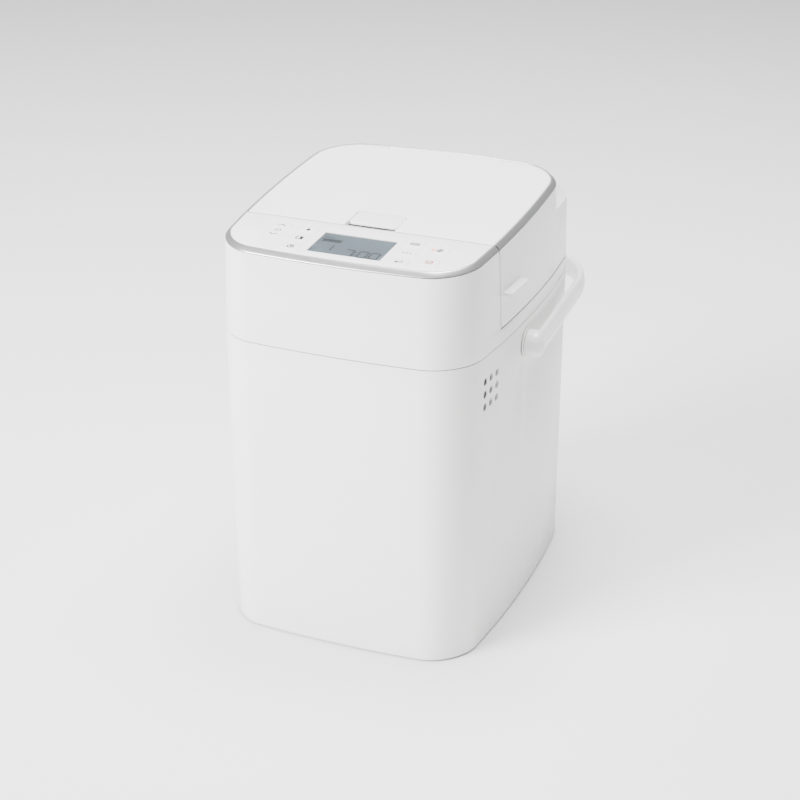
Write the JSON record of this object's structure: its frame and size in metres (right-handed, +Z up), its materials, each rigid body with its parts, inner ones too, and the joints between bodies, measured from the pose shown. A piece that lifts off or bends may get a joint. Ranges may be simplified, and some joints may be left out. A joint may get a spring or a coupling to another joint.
{
  "type": "bread machine",
  "caption": "Compact white bread machine with a hinged lid, sloping control panel with keys and display, fold-back carrying handle, and a bread pan with kneading blade inside.",
  "frame": {"origin": "on the floor, under the middle of the whole object's box, the carrying handle lying back included", "axes": "+Z up, front with the control panel faces -Y, +X to the right as seen from the front"},
  "size_m": [0.2496, 0.3214, 0.3393],
  "materials": {
    "white": "glossy white moulded plastic",
    "panel": "smooth white plastic with a soft sheen",
    "silver": "satin silver",
    "grey": "plain moulded",
    "rubber": "plain",
    "silicone": "plain grey silicone",
    "clear": "clear polished",
    "display": "grey-blue liquid crystal",
    "lens": "red lens",
    "board": "green solder mask",
    "aluminium": "brushed sheet",
    "coating": "dark non-stick coating",
    "steel": "plain steel",
    "brass": "turned",
    "pulley": "dark moulded"
  },
  "bodies": {
    "machine": {"body_shell": "white", "base_plate": "grey", "foot_left_front": "rubber", "foot_left_rear": "rubber", "foot_right_front": "rubber", "foot_right_rear": "rubber", "cord_gland": "grey", "upper_housing": "white", "front_trim": "silver", "control_panel": "panel", "lcd_window": "clear", "lcd_module": "display", "control_board": "board", "start_led": "lens", "chamber_liner": "steel", "heater_element": "steel", "temperature_sensor": "steel", "pan_mount": "steel", "shaft_bearing": "brass", "motor": "steel", "drive_belt": "rubber", "chassis": "steel", "power_board": "board", "handle_pivot_left": "white", "handle_pivot_right": "white", "lid_hinge_pin_left": "steel", "lid_hinge_pin_right": "steel"},
    "lid": {"lid_shell": "white", "lid_trim": "silver", "inner_lid": "aluminium", "lid_gasket": "silicone", "dispenser_box": "coating", "flap_pin": "steel", "dispenser_solenoid": "steel", "cover_hinge_pin_left": "steel", "cover_hinge_pin_right": "steel"},
    "cover": {"top_cover": "panel"},
    "latch": {"cover_latch": "panel"},
    "flap": {"dispenser_flap": "coating"},
    "handle": {"carry_handle": "white"},
    "pan": {"bread_pan": "coating", "pan_bushing": "brass"},
    "bail": {"pan_bail": "steel"},
    "mixer": {"pan_shaft": "steel", "kneading_blade": "coating"},
    "drive": {"drive_shaft": "steel", "drive_coupling": "steel", "large_pulley": "pulley"},
    "motor_rotor": {"motor_pulley": "steel"},
    "key_up": {"key_up": "panel"},
    "key_down": {"key_down": "panel"},
    "key_yeast": {"key_yeast": "panel"},
    "key_crust": {"key_crust": "panel"},
    "key_timer": {"key_timer": "panel"},
    "key_menu": {"key_menu": "panel"},
    "key_mix": {"key_mix": "panel"},
    "key_enter": {"key_enter": "panel"},
    "key_start": {"key_start": "panel"},
    "key_stop": {"key_stop": "panel"}
  },
  "joints": [
    {"name": "lid_hinge", "type": "hinge", "parent": "machine", "child": "lid", "pos_m": [0, 0.12575, 0.262], "axis": [-1, 0, 0], "range_deg": [0, 95]},
    {"name": "cover_hinge", "type": "hinge", "parent": "lid", "child": "cover", "pos_m": [0, 0.07175, 0.33709], "axis": [-1, 0, 0], "range_deg": [0, 100]},
    {"name": "latch_hinge", "type": "hinge", "parent": "cover", "child": "latch", "pos_m": [0, -0.06495, 0.32906], "axis": [-1, 0, 0], "range_deg": [0, 12], "stiffness_Nm_per_rad": 0.02, "springref_deg": -11.46},
    {"name": "flap_hinge", "type": "hinge", "parent": "lid", "child": "flap", "pos_m": [0, 0.03125, 0.2882], "axis": [1, 0, 0], "range_deg": [0, 75], "stiffness_Nm_per_rad": 0.05, "springref_deg": -57.3},
    {"name": "handle_hinge", "type": "hinge", "parent": "machine", "child": "handle", "pos_m": [0, -0.03715, 0.231], "axis": [1, 0, 0], "range_deg": [0, 90]},
    {"name": "pan_lift", "type": "slide", "parent": "machine", "child": "pan", "axis": [0, 0, 1], "range_m": [0, 0.06]},
    {"name": "bail_hinge", "type": "hinge", "parent": "pan", "child": "bail", "pos_m": [0, 0.00825, 0.181], "axis": [1, 0, 0], "range_deg": [0, 154]},
    {"name": "drive_spin", "type": "hinge", "parent": "machine", "child": "drive", "pos_m": [0, 0.00825, 0.05], "axis": [0, 0, 1], "continuous": true},
    {"name": "motor_spin", "type": "hinge", "parent": "machine", "child": "motor_rotor", "pos_m": [0, -0.11775, 0.05], "axis": [0, 0, 1], "continuous": true},
    {"name": "mixer_spin", "type": "hinge", "parent": "pan", "child": "mixer", "pos_m": [0, 0.00825, 0.09], "axis": [0, 0, 1], "continuous": true},
    {"name": "key_up_press", "type": "slide", "parent": "machine", "child": "key_up", "axis": [0, 0.0652, -0.9979], "range_m": [0, 0.0008], "stiffness_N_per_m": 600, "springref_m": -0.0005},
    {"name": "key_down_press", "type": "slide", "parent": "machine", "child": "key_down", "axis": [0, 0.0652, -0.9979], "range_m": [0, 0.0008], "stiffness_N_per_m": 600, "springref_m": -0.0005},
    {"name": "key_yeast_press", "type": "slide", "parent": "machine", "child": "key_yeast", "axis": [0, 0.0652, -0.9979], "range_m": [0, 0.0008], "stiffness_N_per_m": 600, "springref_m": -0.0005},
    {"name": "key_crust_press", "type": "slide", "parent": "machine", "child": "key_crust", "axis": [0, 0.0652, -0.9979], "range_m": [0, 0.0008], "stiffness_N_per_m": 600, "springref_m": -0.0005},
    {"name": "key_timer_press", "type": "slide", "parent": "machine", "child": "key_timer", "axis": [0, 0.0652, -0.9979], "range_m": [0, 0.0008], "stiffness_N_per_m": 600, "springref_m": -0.0005},
    {"name": "key_menu_press", "type": "slide", "parent": "machine", "child": "key_menu", "axis": [0, 0.0652, -0.9979], "range_m": [0, 0.0008], "stiffness_N_per_m": 600, "springref_m": -0.0005},
    {"name": "key_mix_press", "type": "slide", "parent": "machine", "child": "key_mix", "axis": [0, 0.0652, -0.9979], "range_m": [0, 0.0008], "stiffness_N_per_m": 600, "springref_m": -0.0005},
    {"name": "key_enter_press", "type": "slide", "parent": "machine", "child": "key_enter", "axis": [0, 0.0652, -0.9979], "range_m": [0, 0.0008], "stiffness_N_per_m": 600, "springref_m": -0.0005},
    {"name": "key_start_press", "type": "slide", "parent": "machine", "child": "key_start", "axis": [0, 0.0652, -0.9979], "range_m": [0, 0.0008], "stiffness_N_per_m": 600, "springref_m": -0.0005},
    {"name": "key_stop_press", "type": "slide", "parent": "machine", "child": "key_stop", "axis": [0, 0.0652, -0.9979], "range_m": [0, 0.0008], "stiffness_N_per_m": 600, "springref_m": -0.0005}
  ],
  "couplings": [
    {"joint": "motor_spin", "follows": "drive_spin", "ratio": 4.6667},
    {"joint": "mixer_spin", "follows": "drive_spin", "ratio": 1}
  ]
}
